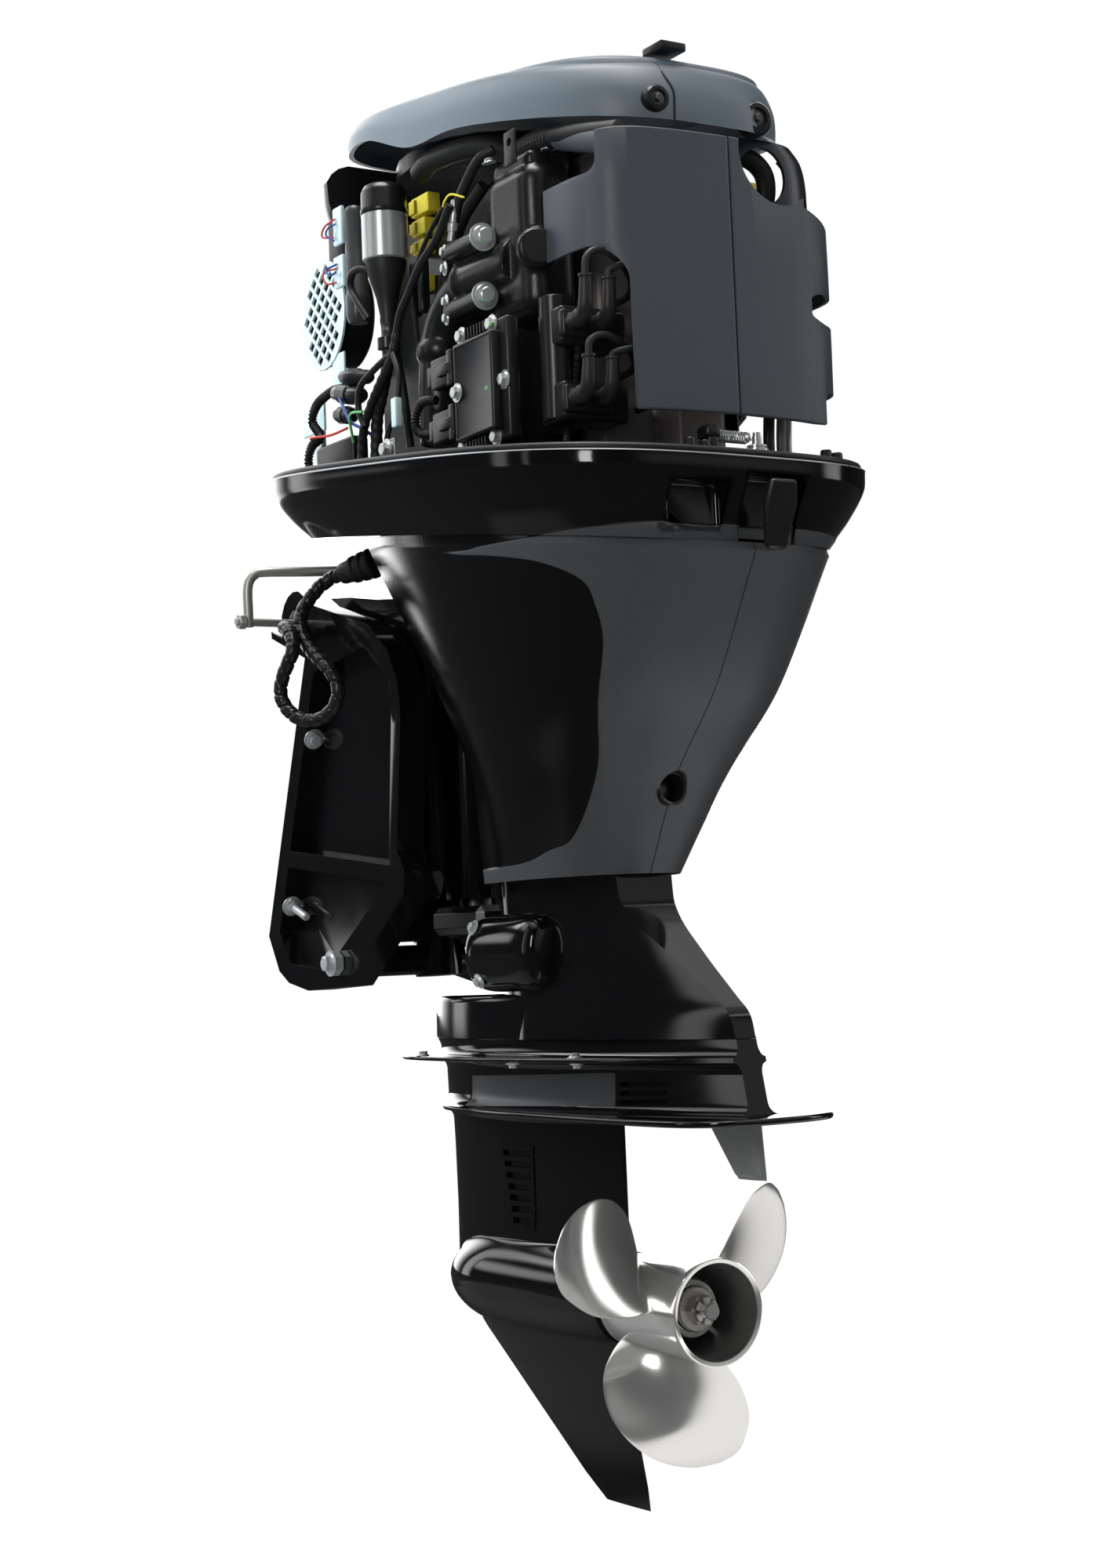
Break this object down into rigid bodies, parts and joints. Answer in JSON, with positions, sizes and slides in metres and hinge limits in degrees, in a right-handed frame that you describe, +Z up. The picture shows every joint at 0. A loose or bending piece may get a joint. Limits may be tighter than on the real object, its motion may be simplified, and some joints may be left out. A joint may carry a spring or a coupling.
{
  "type": "outboard motor",
  "caption": "Long-shaft outboard motor with its top cowl off: transom clamp, tilt and steering pivots, exhaust midsection, gearcase with skeg, propeller and upright powerhead in an open lower cowl.",
  "frame": {"origin": "on the centreline, where the clamp's hook meets its transom face", "axes": "+X aft, +Y starboard, +Z up, parallel to the drive shaft"},
  "size_m": [0.9031, 0.496, 1.5899],
  "materials": {
    "gloss_black": "gloss",
    "gloss_black_plastic": "gloss",
    "satin_charcoal": "satin",
    "engine_black": "speckled black paint",
    "cover_grey": "satin",
    "rear_grey": "satin",
    "black_plastic": "satin",
    "rubber": "matte",
    "steel": "satin",
    "stainless": "polished",
    "zinc": "dull",
    "pale_plastic": "satin",
    "cast_alloy": "cast"
  },
  "bodies": {
    "clamp": {"clamp_bracket_port": "gloss_black", "clamp_bracket_starboard": "gloss_black", "tilt_tube": "steel", "lower_cross_shaft": "steel"},
    "trim_unit": {"trim_unit_body": "gloss_black"},
    "tilt_ram": {"tilt_ram": "stainless"},
    "swivel": {"swivel_bracket": "gloss_black", "harness_cable": "rubber"},
    "tilt_support": {"tilt_support_lever": "gloss_black"},
    "drag_link": {"drag_link": "stainless"},
    "motor": {"steering_shaft": "steel", "exhaust_housing": "gloss_black", "lower_mount_port": "gloss_black", "lower_mount_starboard": "gloss_black", "apron_port": "satin_charcoal", "apron_starboard": "satin_charcoal", "lower_cowl": "gloss_black_plastic", "cowl_seal": "rubber", "latch_spring": "steel", "gearcase": "gloss_black", "bearing_carrier": "cast_alloy", "water_pump_housing": "black_plastic", "engine_block": "engine_black", "cylinder_head": "engine_black", "top_cover": "cover_grey", "lifting_eye": "steel", "rear_cover_port": "rear_grey", "rear_cover_starboard": "rear_grey", "rear_side_moulding": "gloss_black_plastic", "port_casting": "engine_black", "engine_module": "black_plastic", "ignition_coil_upper": "black_plastic", "ignition_coil_lower": "black_plastic", "plug_lead_1": "rubber", "plug_lead_2": "rubber", "plug_lead_3": "rubber", "plug_lead_4": "rubber", "starter_motor": "steel", "fuel_filter_canister": "black_plastic", "grille_guard": "pale_plastic", "intake_silencer": "black_plastic", "breather_hose": "rubber", "intake_plenum": "black_plastic", "rigging_boot": "rubber"},
    "cowl_latch": {"cowl_latch_lever": "black_plastic"},
    "trim_tab": {"trim_tab": "zinc"},
    "drive": {"drive_shaft": "steel", "pinion_gear": "steel", "pump_impeller": "rubber", "crankshaft": "steel", "flywheel": "engine_black"},
    "propeller": {"propeller": "stainless", "prop_hub_bush": "rubber", "prop_nut": "stainless", "prop_shaft": "stainless", "forward_gear": "steel"},
    "reverse_gear": {"reverse_gear": "steel"},
    "clutch_dog": {"clutch_dog": "steel"},
    "shift_shaft": {"shift_shaft": "steel"}
  },
  "joints": [
    {"name": "tilt", "type": "hinge", "parent": "clamp", "child": "swivel", "pos_m": [-0.022, 0, 0.045], "axis": [0, -1, 0], "range_deg": [0, 65], "deforming": ["harness_cable"]},
    {"name": "trim_unit", "type": "hinge", "parent": "clamp", "child": "trim_unit", "pos_m": [0.063, 0, -0.372], "axis": [0, 1, 0], "range_deg": [0, 16]},
    {"name": "tilt_ram", "type": "slide", "parent": "trim_unit", "child": "tilt_ram", "axis": [-0.0433, 0, 0.9991], "range_m": [0, 0.173]},
    {"name": "steer", "type": "hinge", "parent": "swivel", "child": "motor", "pos_m": [0.16, 0, 0], "axis": [0, 0, 1], "range_deg": [-28, 28], "deforming": ["harness_cable"]},
    {"name": "drag_link", "type": "slide", "parent": "swivel", "child": "drag_link", "axis": [0, 1, 0], "range_m": [-0.055, 0.055]},
    {"name": "tilt_support", "type": "hinge", "parent": "swivel", "child": "tilt_support", "pos_m": [0.12, -0.0925, -0.12], "axis": [0, -1, 0], "range_deg": [0, 70]},
    {"name": "cowl_latch", "type": "hinge", "parent": "motor", "child": "cowl_latch", "pos_m": [0.7705, 0.018, 0.088], "axis": [0, -1, 0], "range_deg": [0, 70], "stiffness_Nm_per_rad": 0.3, "springref_deg": -17.19},
    {"name": "trim_tab", "type": "hinge", "parent": "motor", "child": "trim_tab", "pos_m": [0.665, 0, -0.549], "axis": [0, 0, 1], "range_deg": [-20, 20]},
    {"name": "drive", "type": "hinge", "parent": "motor", "child": "drive", "pos_m": [0.29, 0, 0], "axis": [0, 0, 1], "continuous": true},
    {"name": "propeller", "type": "hinge", "parent": "motor", "child": "propeller", "pos_m": [0.62, 0, -0.745], "axis": [1, 0, 0], "continuous": true},
    {"name": "reverse_gear", "type": "hinge", "parent": "motor", "child": "reverse_gear", "pos_m": [0.29, 0, -0.745], "axis": [1, 0, 0], "continuous": true},
    {"name": "shift", "type": "hinge", "parent": "motor", "child": "shift_shaft", "pos_m": [0.19, 0, -0.6], "axis": [0, 0, 1], "range_deg": [-20.5, 20.5]},
    {"name": "clutch_dog", "type": "slide", "parent": "propeller", "child": "clutch_dog", "axis": [1, 0, 0], "range_m": [-0.005, 0.005]}
  ],
  "couplings": [
    {"joint": "trim_unit", "follows": "tilt", "ratio": 0.2345},
    {"joint": "tilt_ram", "follows": "tilt", "m_per_rad": 0.15113},
    {"joint": "drag_link", "follows": "steer", "m_per_rad": -0.11},
    {"joint": "propeller", "follows": "drive", "ratio": 0.5},
    {"joint": "reverse_gear", "follows": "drive", "ratio": -0.5},
    {"joint": "shift", "follows": "clutch_dog", "rad_per_m": 69.93}
  ]
}
